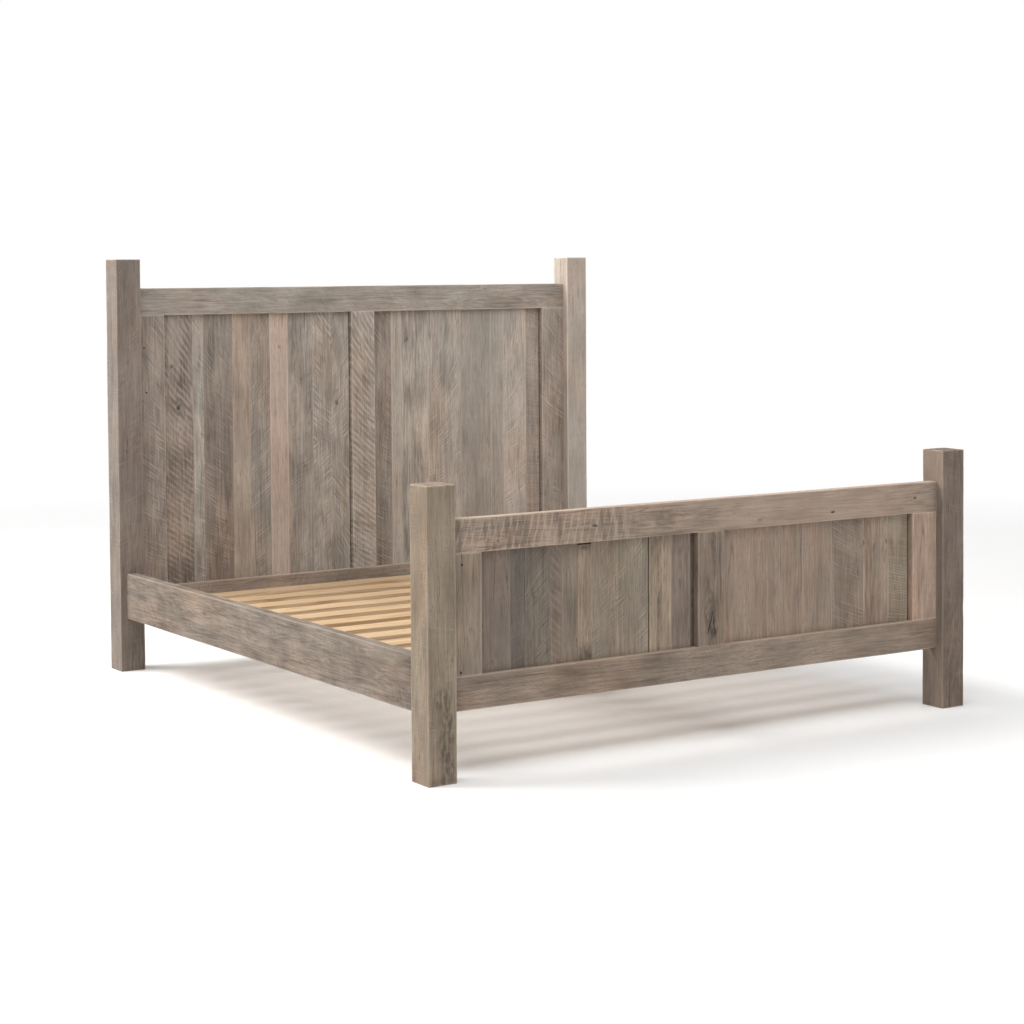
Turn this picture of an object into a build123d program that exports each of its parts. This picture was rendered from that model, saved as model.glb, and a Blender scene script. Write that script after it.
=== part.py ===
from build123d import *
from math import pi
import os

# A king-size panelled bed frame in reclaimed timber, in millimetres.
# X runs across the bed, Y from foot to head, Z up. The origin is on the floor, at the middle of the footprint.
# Both end panels show their recessed face towards the foot of the bed, which is -Y.

# ---------------------------------------------------------------- overall sizes
overall_width = 2083.0
side_rail_length = 2105.0
post_size = 95.0
overall_length = side_rail_length + 2 * post_size
foot_post_height = 860.0
head_post_height = 1512.0

# ---------------------------------------------------------------- end panels
member_thickness = 36.0
rail_width = 100.0
stile_width = 106.0
mullion_width = 102.0
bottom_rail_bottom = 200.0
foot_top_rail_top = 756.0
head_top_rail_top = 1405.0
tenon_length = 45.0
tenon_thickness = 18.0
tenon_margin = 15.0
panel_recess = 16.0
board_thickness = 13.0
groove_depth = 10.0
groove_slack = 0.5
eased_edge = 2.0
fit_clearance = 0.3

# ---------------------------------------------------------------- random-width shiplap boards
# Each board is (width, reveal to its right, set-back of its face). The last one fills what is left of its bay,
# so its width is None.
lap = 8.0
lap_clearance = 0.5
foot_left_boards = (
    (109, 1.5, 0.5), (51, 1.5, 1.5), (89, 2, 0.8), (41, 1, 0), (58, 1.5, 1.0),
    (51, 1, 0.4), (90, 1.5, 1.2), (125, 6, 0.3), (84, 1.5, 0.8), (None, 18, 1.4),
)
foot_right_boards = (
    (239.5, 1.5, 0.8), (90, 1.5, 0.3), (126, 2, 1.0), (131, 1.5, 0.4), (107, 1.5, 0), (None, 10, 1.0),
)
head_left_boards = (
    (120, 1.5, 0.4), (45, 1.5, 1.2), (119, 1, 0.5), (72, 1.5, 0), (85, 1.5, 1.0),
    (77, 2, 0.2), (108, 1.5, 0.9), (None, 6, 0.5),
)
head_right_boards = (
    (83.5, 2, 0.6), (45, 1.5, 0), (124, 1.5, 0.9), (153, 1.5, 0.4),
    (141, 2.5, 1.2), (64, 1.5, 0), (109, 1.5, 0.6), (None, 6, 1.0),
)
bead_groove_width = 18.0
bead_groove_depth = 5.0
short_board_drop = 8.0

# ---------------------------------------------------------------- side rails and mattress support
side_rail_thickness = 38.0
side_rail_height = 165.0
side_rail_bottom = 195.0
side_rail_inset = 25.0
support_height = 248.0
cleat_size = 38.0
cleat_end_gap = 45.0
slat_width = 89.0
slat_thickness = 19.0
slat_side_gap = 3.5
slat_count = 13
first_slat_centre = 95.0
beam_width = 89.0
beam_depth = 38.0
beam_bearing = 12.0
beam_drop_space = 16.0
leg_size = 64.0
leg_bottom = 32.0
first_leg_from_foot = 960.0
leg_spacing = 660.0

# ---------------------------------------------------------------- levelling feet (M10 x 1.5)
stem_radius = 5.0
stem_top_depth = 30.0
foot_travel = 12.0
insert_radius = 7.5
insert_length = 20.0
insert_clearance = 0.1
hex_across_flats = 17.0
hex_height = 7.0
pad_radius = 20.0
pad_thickness = 8.0
socket_radius = 6.0
socket_depth = 4.0
ball_clearance = 0.1

# ---------------------------------------------------------------- bed-rail fasteners
plate_height = 140.0
plate_width = 16.0
plate_thickness = 3.0
hook_thickness = 4.0
hook_reach = 13.0
hook_arm = 9.0
hook_drop = 20.0
hook_spacing = 64.0
slot_clearance = 0.5
slot_rise = 15.0
pocket_depth = 15.0
plate_screw_offset = 60.0

# ---------------------------------------------------------------- wood screws
screw_shank_radius = 2.2
screw_head_radius = 4.5
screw_head_height = 3.0
short_screw = 40.0
long_screw = 60.0
cleat_screw_count = 6
leg_screw_offset = 18.0
drive_slot_width = 1.2
drive_slot_depth = 1.4

# ---------------------------------------------------------------- worked-out places
half_width = overall_width / 2
half_length = overall_length / 2
post_inner_x = half_width - post_size
foot_centre_y = -half_length + post_size / 2
head_centre_y = half_length - post_size / 2
opening_bottom = bottom_rail_bottom + rail_width
rail_centre_x = half_width - side_rail_inset - side_rail_thickness / 2
rail_inner_x = rail_centre_x - side_rail_thickness / 2
rail_end_y = side_rail_length / 2
fastener_z = side_rail_bottom + side_rail_height / 2
beam_half_length = half_length - (post_size + member_thickness) / 2 + beam_bearing
leg_places = [first_leg_from_foot - half_length + leg_spacing * number for number in range(2)]


# ---------------------------------------------------------------- small helpers
def block(x_span, y_span, z_span):
    """A box between two X, two Y and two Z values."""
    size = [span[1] - span[0] for span in (x_span, y_span, z_span)]
    corner = Pos(x_span[0], y_span[0], z_span[0])
    return corner * Box(*size, align=(Align.MIN, Align.MIN, Align.MIN))


def eased(solid, axis):
    """The solid with the long edges that run along one axis taken off."""
    return chamfer(solid.edges().filter_by(axis), eased_edge)


def along(start, end, count):
    """Evenly spaced values from start to end."""
    return [start + (end - start) * number / (count - 1) for number in range(count)]


def cut_all(solid, cutters):
    """The solid with every cutter taken away."""
    for cutter in cutters:
        solid = solid - cutter
    return solid


# ---------------------------------------------------------------- wood screws
def screw(length):
    """A countersunk wood screw that points down, with its head's face at the origin."""
    head = Pos(0, 0, -screw_head_height / 2) * Cone(screw_shank_radius, screw_head_radius, screw_head_height)
    shank = Pos(0, 0, -length / 2) * Cylinder(screw_shank_radius, length)
    return head + shank


def driven(screw_hole):
    """The finished screw, with a cross slot in its head."""
    slot_length = 1.2 * screw_head_radius
    for angle in (0, 90):
        slot = Rot(0, 0, angle) * Box(slot_length, drive_slot_width, 2 * drive_slot_depth)
        screw_hole = screw_hole - slot
    return screw_hole


short_hole = screw(short_screw)
long_hole = screw(long_screw)
short_driven = driven(short_hole)
long_driven = driven(long_hole)

slat_places = along(-rail_end_y + first_slat_centre, rail_end_y - first_slat_centre, slat_count)
slat_top = support_height + slat_thickness
cleat_centre_x = rail_inner_x - cleat_size / 2
slat_screw_spots = [Pos(x, y, slat_top) for y in slat_places for x in (-cleat_centre_x, 0, cleat_centre_x)]

cleat_half_length = rail_end_y - cleat_end_gap
slat_pitch = slat_places[1] - slat_places[0]
cleat_screw_places = [slat_places[2 * number] + slat_pitch / 2 for number in range(cleat_screw_count)]
cleat_middle_z = support_height - cleat_size / 2


def cleat_screw_spots(side):
    """Level screws through a cleat into its side rail."""
    face_x = side * (rail_inner_x - cleat_size)
    return [Pos(face_x, y, cleat_middle_z) * Rot(0, -90 * side, 0) for y in cleat_screw_places]


leg_screw_spots = [
    Pos(0, y + offset, support_height) for y in leg_places for offset in (-leg_screw_offset, leg_screw_offset)
]


def plate_screw_spots(side, end, into_rail):
    """Level screws through a hook plate into a rail end, or through a strike plate into a post."""
    turn = 90 * end if into_rail else -90 * end
    face_y = end * rail_end_y
    heights = (fastener_z - plate_screw_offset, fastener_z + plate_screw_offset)
    return [Pos(side * rail_centre_x, face_y, z) * Rot(-turn, 0, 0) for z in heights]


def holes(spots, hole):
    """One screw-shaped hole at each spot."""
    return [spot * hole for spot in spots]


# ---------------------------------------------------------------- bed-rail fasteners
hook_tops = (fastener_z + hook_spacing / 2 + hook_drop / 2, fastener_z - hook_spacing / 2 + hook_drop / 2)


def plate(side, end, outward):
    """A steel plate let in flush, on the rail's end or on the post's face."""
    face_y = end * rail_end_y
    y_span = sorted((face_y, face_y + end * outward * plate_thickness))
    x_span = (side * rail_centre_x - plate_width / 2, side * rail_centre_x + plate_width / 2)
    return block(x_span, y_span, (fastener_z - plate_height / 2, fastener_z + plate_height / 2))


def hook(side, end, top):
    """One hook that reaches through the strike plate and drops behind it."""
    catch = plate_thickness + slot_clearance
    outline = [
        (0, 0), (hook_reach, 0), (hook_reach, -hook_drop),
        (catch, -hook_drop), (catch, -hook_arm), (0, -hook_arm),
    ]
    points = [(end * (rail_end_y + reach), top + rise) for reach, rise in outline]
    flat = Plane.YZ * Polygon(*points, align=None)
    return Pos(side * rail_centre_x, 0, 0) * extrude(flat, amount=hook_thickness / 2, both=True)


def hook_plate(side, end):
    """The hook plate on one end of a side rail."""
    solid = plate(side, end, -1)
    for top in hook_tops:
        solid = solid + hook(side, end, top)
    return cut_all(solid, holes(plate_screw_spots(side, end, True), short_hole))


def slot_space(side, end, top, depth_span, below):
    """The space for a hook: a slot in the strike plate, or the pocket behind it."""
    half_slot = hook_thickness / 2 + slot_clearance
    x_span = (side * rail_centre_x - half_slot, side * rail_centre_x + half_slot)
    y_span = sorted(end * (rail_end_y + depth) for depth in depth_span)
    return block(x_span, y_span, (top - below, top + slot_rise))


def strike_plate(side, end):
    """The strike plate on a post, with a slot for each hook."""
    solid = plate(side, end, 1)
    for top in hook_tops:
        solid = solid - slot_space(side, end, top, (0, plate_thickness), hook_arm)
    return cut_all(solid, holes(plate_screw_spots(side, end, False), short_hole))


def strike_spaces(side, end):
    """Everything that a strike plate needs cut out of its post."""
    pockets = [slot_space(side, end, top, (0, pocket_depth), hook_drop + 2) for top in hook_tops]
    return [plate(side, end, 1)] + pockets + holes(plate_screw_spots(side, end, False), short_hole)


# ---------------------------------------------------------------- end panels
def member_span(centre_y):
    """The Y span of the rails, stiles and mullion of an end panel."""
    return (centre_y - member_thickness / 2, centre_y + member_thickness / 2)


def groove_span(centre_y):
    """The Y span of the groove that holds the boards."""
    front = centre_y - member_thickness / 2 + panel_recess
    return (front - groove_slack, front + board_thickness + groove_slack)


def tenon_z(rail_bottom):
    """The Z span of a rail's tenon."""
    return (rail_bottom + tenon_margin, rail_bottom + rail_width - tenon_margin)


def post(side, centre_y, end, height, rail_bottoms):
    """A square post with a mortise for each end-panel rail and the seat of its strike plate."""
    centre_x = side * (half_width - post_size / 2)
    solid = Pos(centre_x, centre_y, height / 2) * Box(post_size, post_size, height)
    upright = solid.edges().filter_by(Axis.Z)
    top_edges = solid.faces().sort_by(Axis.Z)[-1].edges()
    solid = chamfer(upright + top_edges, eased_edge)
    half_tenon = tenon_thickness / 2 + fit_clearance
    x_span = sorted((side * post_inner_x, side * (post_inner_x + tenon_length + 2)))
    for rail_bottom in rail_bottoms:
        low, high = tenon_z(rail_bottom)
        z_span = (low - fit_clearance, high + fit_clearance)
        solid = solid - block(x_span, (centre_y - half_tenon, centre_y + half_tenon), z_span)
    return cut_all(solid, strike_spaces(side, end))


def panel_rail(centre_y, rail_bottom, groove_at_top):
    """A rail between two posts, with a tenon at each end and the boards' groove along one edge."""
    body = block((-post_inner_x, post_inner_x), member_span(centre_y), (rail_bottom, rail_bottom + rail_width))
    body = eased(body, Axis.X)
    if groove_at_top:
        groove_z = (rail_bottom + rail_width - groove_depth, rail_bottom + rail_width)
    else:
        groove_z = (rail_bottom, rail_bottom + groove_depth)
    body = body - block((-post_inner_x, post_inner_x), groove_span(centre_y), groove_z)
    for side in (-1, 1):
        x_span = sorted((side * post_inner_x, side * (post_inner_x + tenon_length)))
        tenon_y = (centre_y - tenon_thickness / 2, centre_y + tenon_thickness / 2)
        body = body + block(x_span, tenon_y, tenon_z(rail_bottom))
    return body


def beam_pocket(centre_y, inward):
    """The pocket that takes one end of the centre beam, with room to lower the beam in."""
    face_y = centre_y + inward * member_thickness / 2
    y_span = sorted((face_y, face_y - inward * beam_bearing))
    half_beam = beam_width / 2 + fit_clearance
    z_span = (support_height - beam_depth, support_height + beam_drop_space)
    return block((-half_beam, half_beam), y_span, z_span)


def upright_member(centre_x, width, centre_y, z_span, grooved_sides):
    """A stile or a mullion between two rails, with stub tenons that fill their grooves."""
    x_span = (centre_x - width / 2, centre_x + width / 2)
    body = eased(block(x_span, member_span(centre_y), z_span), Axis.Z)
    for side in grooved_sides:
        edge_x = centre_x + side * width / 2
        groove_x = sorted((edge_x, edge_x - side * groove_depth))
        body = body - block(groove_x, groove_span(centre_y), z_span)
    left = x_span[0] + (groove_depth if -1 in grooved_sides else 0)
    right = x_span[1] - (groove_depth if 1 in grooved_sides else 0)
    stub_y = groove_span(centre_y)
    stub_y = (stub_y[0] + fit_clearance, stub_y[1] - fit_clearance)
    return body + block((left, right), stub_y, (z_span[0] - groove_depth, z_span[1] + groove_depth))


def shiplap_board(front_x, back_x, front_y, back_y, z_span):
    """A board whose back half is shifted sideways, so that it laps under its right-hand neighbour."""
    middle_y = back_y - board_thickness / 2
    outline = [
        (front_x[0], front_y), (front_x[1], front_y), (front_x[1], middle_y), (back_x[1], middle_y),
        (back_x[1], back_y), (back_x[0], back_y), (back_x[0], middle_y), (front_x[0], middle_y),
    ]
    flat = Pos(0, 0, z_span[0]) * Polygon(*outline, align=None)
    return extrude(flat, amount=z_span[1] - z_span[0])


def bay_boards(bay, boards, centre_y, z_span):
    """The boards of one bay, from left to right, held in the grooves all round."""
    panel_front = centre_y - member_thickness / 2 + panel_recess
    panel_back = panel_front + board_thickness
    in_groove = groove_depth - 1
    solids = []
    left = bay[0]
    for number, (width, reveal, set_back) in enumerate(boards):
        first = number == 0
        last = width is None
        right = bay[1] if last else left + width
        front_x = (left - in_groove if first else left, right - reveal)
        back_left = left - in_groove if first else left + lap + lap_clearance
        back_right = right + (in_groove if last else lap)
        front_y = panel_front + set_back
        solids.append(shiplap_board(front_x, (back_left, back_right), front_y, panel_back, z_span))
        left = right
    return solids


def end_panel(name, centre_y, inward, top_rail_top, left_boards, right_boards):
    """The rails, stiles, mullion and boards between two posts, by node name."""
    opening_top = top_rail_top - rail_width
    opening_z = (opening_bottom, opening_top)
    stile_x = post_inner_x - stile_width / 2
    bay_edge = post_inner_x - stile_width
    board_z = (opening_bottom - groove_depth, opening_top + groove_depth - 2)
    bottom_rail = panel_rail(centre_y, bottom_rail_bottom, True) - beam_pocket(centre_y, inward)
    nodes = {
        f"{name}_top_rail": panel_rail(centre_y, opening_top, False),
        f"{name}_bottom_rail": bottom_rail,
        f"{name}_left_stile": upright_member(-stile_x, stile_width, centre_y, opening_z, (1,)),
        f"{name}_right_stile": upright_member(stile_x, stile_width, centre_y, opening_z, (-1,)),
        f"{name}_mullion": upright_member(0, mullion_width, centre_y, opening_z, (-1, 1)),
    }
    bays = {
        "left": ((-bay_edge, -mullion_width / 2), left_boards),
        "right": ((mullion_width / 2, bay_edge), right_boards),
    }
    for side_name, (bay, boards) in bays.items():
        for number, solid in enumerate(bay_boards(bay, boards, centre_y, board_z), start=1):
            nodes[f"{name}_{side_name}_board_{number:02d}"] = solid
    return nodes


def add_old_board_details(nodes):
    """A wide old groove down one footboard board, and one footboard board cut short at its top."""
    grooved = "foot_left_board_09"
    box = nodes[grooved].bounding_box()
    middle_x = (box.min.X + box.max.X) / 2 - lap
    groove_x = (middle_x - bead_groove_width / 2, middle_x + bead_groove_width / 2)
    groove_y = (box.min.Y, box.min.Y + bead_groove_depth)
    nodes[grooved] = nodes[grooved] - block(groove_x, groove_y, (box.min.Z, box.max.Z))

    short = "foot_left_board_06"
    box = nodes[short].bounding_box()
    visible_top = foot_top_rail_top - rail_width
    cut_y = (box.min.Y, box.max.Y - board_thickness / 2)
    cut = block((box.min.X, box.max.X), cut_y, (visible_top - short_board_drop, box.max.Z))
    nodes[short] = nodes[short] - cut


# ---------------------------------------------------------------- side rails and mattress support
def side_rail(side):
    """A side rail that butts two posts, with a hook plate let into each end."""
    x_span = (side * rail_centre_x - side_rail_thickness / 2, side * rail_centre_x + side_rail_thickness / 2)
    z_span = (side_rail_bottom, side_rail_bottom + side_rail_height)
    solid = eased(block(x_span, (-rail_end_y, rail_end_y), z_span), Axis.Y)
    cutters = holes(cleat_screw_spots(side), long_hole)
    for end in (-1, 1):
        cutters.append(plate(side, end, -1))
        cutters += holes(plate_screw_spots(side, end, True), short_hole)
    return cut_all(solid, cutters)


def cleat(side):
    """The ledger along the inside of a side rail that the slats rest on."""
    x_span = sorted((side * rail_inner_x, side * (rail_inner_x - cleat_size)))
    z_span = (support_height - cleat_size, support_height)
    solid = block(x_span, (-cleat_half_length, cleat_half_length), z_span)
    own_spots = [spot for spot in slat_screw_spots if spot.position.X * side > 0]
    return cut_all(solid, holes(own_spots, short_hole) + holes(cleat_screw_spots(side), long_hole))


def slat(centre_y):
    """One mattress slat, with its three screw holes."""
    half_slat = rail_inner_x - slat_side_gap
    y_span = (centre_y - slat_width / 2, centre_y + slat_width / 2)
    solid = block((-half_slat, half_slat), y_span, (support_height, slat_top))
    own_spots = [Pos(x, centre_y, slat_top) for x in (-cleat_centre_x, 0, cleat_centre_x)]
    return cut_all(solid, holes(own_spots, short_hole))


def centre_beam():
    """The beam under the middle of the slats, let into both end panels."""
    z_span = (support_height - beam_depth, support_height)
    solid = block((-beam_width / 2, beam_width / 2), (-beam_half_length, beam_half_length), z_span)
    middle_spots = [Pos(0, y, slat_top) for y in slat_places]
    return cut_all(solid, holes(middle_spots, short_hole) + holes(leg_screw_spots, long_hole))


def centre_leg(centre_y):
    """A short leg under the beam, bored for its threaded insert and levelling stem."""
    top = support_height - beam_depth
    solid = Pos(0, centre_y, (top + leg_bottom) / 2) * Box(leg_size, leg_size, top - leg_bottom)
    solid = chamfer(solid.edges().filter_by(Axis.Z), eased_edge)
    bore_top = leg_bottom + insert_length + stem_top_depth
    bore = Pos(0, centre_y, (leg_bottom + bore_top) / 2) * Cylinder(stem_radius + 1, bore_top - leg_bottom)
    seat = Pos(0, centre_y, leg_bottom + insert_length / 2) * Cylinder(insert_radius, insert_length)
    own_spots = [spot for spot in leg_screw_spots if abs(spot.position.Y - centre_y) < leg_size]
    return cut_all(solid, [bore, seat] + holes(own_spots, long_hole))


def threaded_insert(centre_y):
    """The steel sleeve in a leg's foot that the levelling stem turns in."""
    place = Pos(0, centre_y, leg_bottom + insert_length / 2)
    sleeve = Cylinder(insert_radius, insert_length)
    return place * (sleeve - Cylinder(stem_radius + insert_clearance, insert_length))


def leveller_pad(centre_y):
    """The round foot that stands on the floor, with a socket for the stem's ball end."""
    disc = Pos(0, 0, pad_thickness / 2) * Cylinder(pad_radius, pad_thickness)
    disc = chamfer(disc.edges().sort_by(Axis.Z)[-1], eased_edge)
    socket = Pos(0, 0, pad_thickness - socket_depth / 2) * Cylinder(socket_radius, socket_depth)
    return Pos(0, centre_y, 0) * (disc - socket)


def leveller_stem(centre_y):
    """The threaded stem with its spanner hex, its round end in the pad's socket."""
    socket_floor = pad_thickness - socket_depth + ball_clearance
    hex_bottom = pad_thickness + 2
    stem_top = leg_bottom + insert_length + stem_top_depth - foot_travel - 2
    end_height = hex_bottom - socket_floor
    round_end = Pos(0, 0, socket_floor + end_height / 2) * Cylinder(socket_radius - ball_clearance, end_height)
    hex_outline = RegularPolygon(hex_across_flats / 2, 6, major_radius=False)
    spanner_hex = extrude(Pos(0, 0, hex_bottom) * hex_outline, amount=hex_height)
    stem_height = stem_top - hex_bottom
    stem = Pos(0, 0, hex_bottom + stem_height / 2) * Cylinder(stem_radius, stem_height)
    stem = chamfer(stem.edges().sort_by(Axis.Z)[-1], 1)
    return Pos(0, centre_y, 0) * (round_end + spanner_hex + stem)


# ---------------------------------------------------------------- the whole bed
def all_nodes():
    """Every sub-part, by node name."""
    foot_rails = (bottom_rail_bottom, foot_top_rail_top - rail_width)
    head_rails = (bottom_rail_bottom, head_top_rail_top - rail_width)
    nodes = {}
    for side, side_name in ((-1, "left"), (1, "right")):
        nodes[f"foot_{side_name}_post"] = post(side, foot_centre_y, -1, foot_post_height, foot_rails)
        nodes[f"head_{side_name}_post"] = post(side, head_centre_y, 1, head_post_height, head_rails)
        nodes[f"{side_name}_side_rail"] = side_rail(side)
    nodes |= end_panel("foot", foot_centre_y, 1, foot_top_rail_top, foot_left_boards, foot_right_boards)
    nodes |= end_panel("head", head_centre_y, -1, head_top_rail_top, head_left_boards, head_right_boards)
    add_old_board_details(nodes)

    corners = [(side, end) for side in (-1, 1) for end in (-1, 1)]
    nodes["ledger_cleats"] = Compound(children=[cleat(side) for side in (-1, 1)])
    nodes["mattress_slats"] = Compound(children=[slat(y) for y in slat_places])
    nodes["centre_beam"] = centre_beam()
    nodes["centre_legs"] = Compound(children=[centre_leg(y) for y in leg_places])
    nodes["leg_inserts"] = Compound(children=[threaded_insert(y) for y in leg_places])
    nodes["rail_hook_plates"] = Compound(children=[hook_plate(*corner) for corner in corners])
    nodes["post_strike_plates"] = Compound(children=[strike_plate(*corner) for corner in corners])
    for name, centre_y in zip(("front", "rear"), leg_places):
        nodes[f"{name}_leveller_pad"] = leveller_pad(centre_y)
        nodes[f"{name}_leveller_stem"] = leveller_stem(centre_y)

    short_spots = list(slat_screw_spots)
    for side, end in corners:
        short_spots += plate_screw_spots(side, end, True) + plate_screw_spots(side, end, False)
    long_spots = cleat_screw_spots(-1) + cleat_screw_spots(1) + leg_screw_spots
    screws = holes(short_spots, short_driven) + holes(long_spots, long_driven)
    nodes["wood_screws"] = Compound(children=screws)
    return nodes


def main():
    """Write one STEP file for each node."""
    os.makedirs("parts", exist_ok=True)
    for name, solid in all_nodes().items():
        export_step(solid, f"parts/{name}.step")


main()
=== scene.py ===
import bmesh
import bpy
import itertools
import math
import numpy as np
from collections import namedtuple
from mathutils import Matrix, Vector


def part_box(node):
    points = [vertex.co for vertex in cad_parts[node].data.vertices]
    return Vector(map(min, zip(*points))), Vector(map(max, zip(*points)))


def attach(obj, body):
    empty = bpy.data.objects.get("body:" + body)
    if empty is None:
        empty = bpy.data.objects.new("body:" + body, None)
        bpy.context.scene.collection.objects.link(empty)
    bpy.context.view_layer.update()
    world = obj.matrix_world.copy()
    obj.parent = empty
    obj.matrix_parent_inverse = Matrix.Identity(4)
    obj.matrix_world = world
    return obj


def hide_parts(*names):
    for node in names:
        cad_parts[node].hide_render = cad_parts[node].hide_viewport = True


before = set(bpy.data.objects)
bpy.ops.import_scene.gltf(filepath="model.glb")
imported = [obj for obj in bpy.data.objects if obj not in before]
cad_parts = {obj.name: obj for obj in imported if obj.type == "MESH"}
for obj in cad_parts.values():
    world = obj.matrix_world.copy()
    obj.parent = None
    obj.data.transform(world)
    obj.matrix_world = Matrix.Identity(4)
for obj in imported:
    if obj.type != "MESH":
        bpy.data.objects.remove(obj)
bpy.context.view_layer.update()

# A reclaimed-timber bed frame. Every visible timber is built here as a worn, weathered mesh in its CAD
# node's place, and gets a procedural barn-wood material of its own tone. All lengths are in metres.

# ---------------------------------------- surface detail
# How closely a mesh is sampled: everywhere, in from each corner, and either side of a mark. A knot's steps
# are in its own radii.
ACROSS_STEP = 0.0026
ALONG_STEP = 0.0062
CORNER_STEPS = (0.0008, 0.0018, 0.0032, 0.0052)
CRACK_STEPS = (-0.003, -0.0014, -0.0006, 0, 0.0006, 0.0014, 0.003)
HOLE_STEPS = (-0.0045, -0.003, -0.0015, 0, 0.0015, 0.003, 0.0045)
KNOT_STEPS = (-1.3, -0.9, -0.5, 0, 0.5, 0.9, 1.3)
KNOT_STEP_STRETCH = 1.4
LEAST_STEP = 0.00035

# The step from one timber's place in the grain pattern to another's.
GRAIN_SHIFT = np.array((1.7, 3.1, 0.9))

# The unevenness of an old face: (height, bumps in a metre across, through and along the grain).
UNEVENNESS = ((0.0005, (11, 11, 3)), (0.00022, (150, 150, 5)), (0.00016, (60, 60, 60)))
ROUNDING = 0.0010
KNOT_BULGE = 0.0009
KNOT_RIM = 0.0010
KNOT_STRETCH = 1.5
HOLE_DEPTH = 0.004
SPLIT_CRACK = dict(width=0.0022, depth=0.005)
END_CRACK = dict(width=0.0008, depth=0.003)
FACE_CRACK = dict(width=0.0007, depth=0.0025)

# Joints between timbers: how far an end runs on out of sight, the lap of two boards, the reveals that are
# closed and what is left of them, and the width over which a groove's edge falls away.
HIDDEN_END = 0.002
LAP = 0.008
NARROW_REVEAL = 0.003
CLOSED_REVEAL = 0.0005
GROOVE_EDGE = 0.0012
GROOVE_DEPTH = 0.005
SHORT_BOARD_DROP = 0.008

# How a timber's own directions (across, through, along the grain) lie on the bed's axes.
UPRIGHT = (0, 1, 2)
LEVEL = (2, 1, 0)
SIDE = (2, 0, 1)
SLAT = (1, 2, 0)
BEAM = (0, 2, 1)

# A timber's faces: (the direction that the face looks along, which end of it, the direction across it).
FRONT = (1, 0, 0)
BACK = (1, 1, 0)
LOW_SIDE = (0, 0, 1)
HIGH_SIDE = (0, 1, 1)

# What may be on a timber, by distances across and along it. A crack's place is across its face, and it leans
# sideways from its start to its end. Stains darken, and negative ones lighten; some are painted light and
# some painted shade.
Knot = namedtuple("Knot", "across along radius strength")
Hole = namedtuple("Hole", "across along radius")
StainAndLight = namedtuple("StainAndLight", "across along reach_across reach_along strength face", defaults=(None,))
SawPatch = namedtuple("SawPatch", "across along reach")
Crack = namedtuple("Crack", "face place start end lean width depth")

# How a timber looks: its tone, how bright that is, its saw marks if any and how strong its grain is. A saw's
# hub is measured from the timber's middle, and its pitch is the distance from one stroke to the next.
Look = namedtuple("Look", "tone shade saw contrast")
Saw = namedtuple("Saw", "across along pitch strength even sharp broken folded", defaults=(0.2, 1, 1, False))


# ---------------------------------------- noise
def lattice_value(x, y, z, seed):
    """A number from -1 to 1 for each whole-number point, the same on every run."""
    mixed = (x * 374761393 + y * 668265263 + z * 1442695041 + seed * 1013904223) & 0xFFFFFFFF
    mixed = ((mixed ^ (mixed >> 13)) * 1274126177) & 0xFFFFFFFF
    mixed = mixed ^ (mixed >> 16)
    return mixed / 0x7FFFFFFF - 1


def noise(points, scale, seed):
    """Smooth noise from -1 to 1 at each point. The scale is how many bumps fit in a metre on each axis."""
    scaled = points * np.array(scale, float)
    cell = np.floor(scaled).astype(np.int64)
    part = scaled - cell
    part = part * part * (3 - 2 * part)
    total = np.zeros(len(points))
    for corner in itertools.product((0, 1), repeat=3):
        weight = np.prod(np.where(corner, part, 1 - part), axis=1)
        total += weight * lattice_value(*(cell + corner).T, seed)
    return total


def smooth(value, low, high):
    """0 at low, 1 at high and a smooth change between them; low may be the larger."""
    share = np.clip((value - low) / (high - low), 0, 1)
    return share * share * (3 - 2 * share)


# ---------------------------------------- the sawn box
def steps(length, step, extra=()):
    """Distances from 0 to a length, even but for closer ones at both ends and at the extra places."""
    even = np.linspace(0, length, max(2, round(length / step)) + 1)[1:-1]
    near = [d for edge in CORNER_STEPS if edge < 0.4 * length for d in (edge, length - edge)]
    inner = np.sort(np.concatenate([even, near, np.array(extra, float)]))
    inner = inner[(inner > LEAST_STEP) & (inner < length - LEAST_STEP)]
    inner = inner[np.diff(inner, prepend=0) > LEAST_STEP]
    return np.concatenate([[0], inner, [length]])


def sample_distances(size, coarse, knots, holes, cracks):
    """Where a timber is sampled along each direction: evenly, and closer at its corners and marks."""
    closer = ([], [], [])
    for crack in cracks:
        closer[crack.face[2]].extend(crack.place + offset for offset in CRACK_STEPS)
    for knot in knots:
        closer[0].extend(knot.across + offset * knot.radius for offset in KNOT_STEPS)
        stretched = KNOT_STEP_STRETCH * knot.radius
        closer[2].extend(knot.along + offset * stretched for offset in KNOT_STEPS)
    for hole in holes:
        closer[0].extend(hole.across + offset for offset in HOLE_STEPS)
        closer[2].extend(hole.along + offset for offset in HOLE_STEPS)
    even = (ACROSS_STEP, ACROSS_STEP, ALONG_STEP)
    return [steps(length, step * coarse, extra) for length, step, extra in zip(size, even, closer)]


def box_surface(samples):
    """The points and quads over all six sides of a box, from its distances along its three directions."""
    shape = tuple(len(values) for values in samples)
    shell = np.ones(shape, bool)
    shell[1:-1, 1:-1, 1:-1] = False
    index = np.full(shape, -1)
    index[shell] = np.arange(shell.sum())
    points = np.stack(np.meshgrid(*samples, indexing="ij"), -1)[shell]
    sides = [
        (index[0], True), (index[-1], False), (index[:, 0], False),
        (index[:, -1], True), (index[:, :, 0], True), (index[:, :, -1], False),
    ]
    quads = []
    for sheet, flip in sides:
        corners = [sheet[:-1, :-1], sheet[1:, :-1], sheet[1:, 1:], sheet[:-1, 1:]]
        quad = np.stack(corners[::-1] if flip else corners, -1).reshape(-1, 4)
        quads.append(quad)
    return points, np.concatenate(quads)


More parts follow.
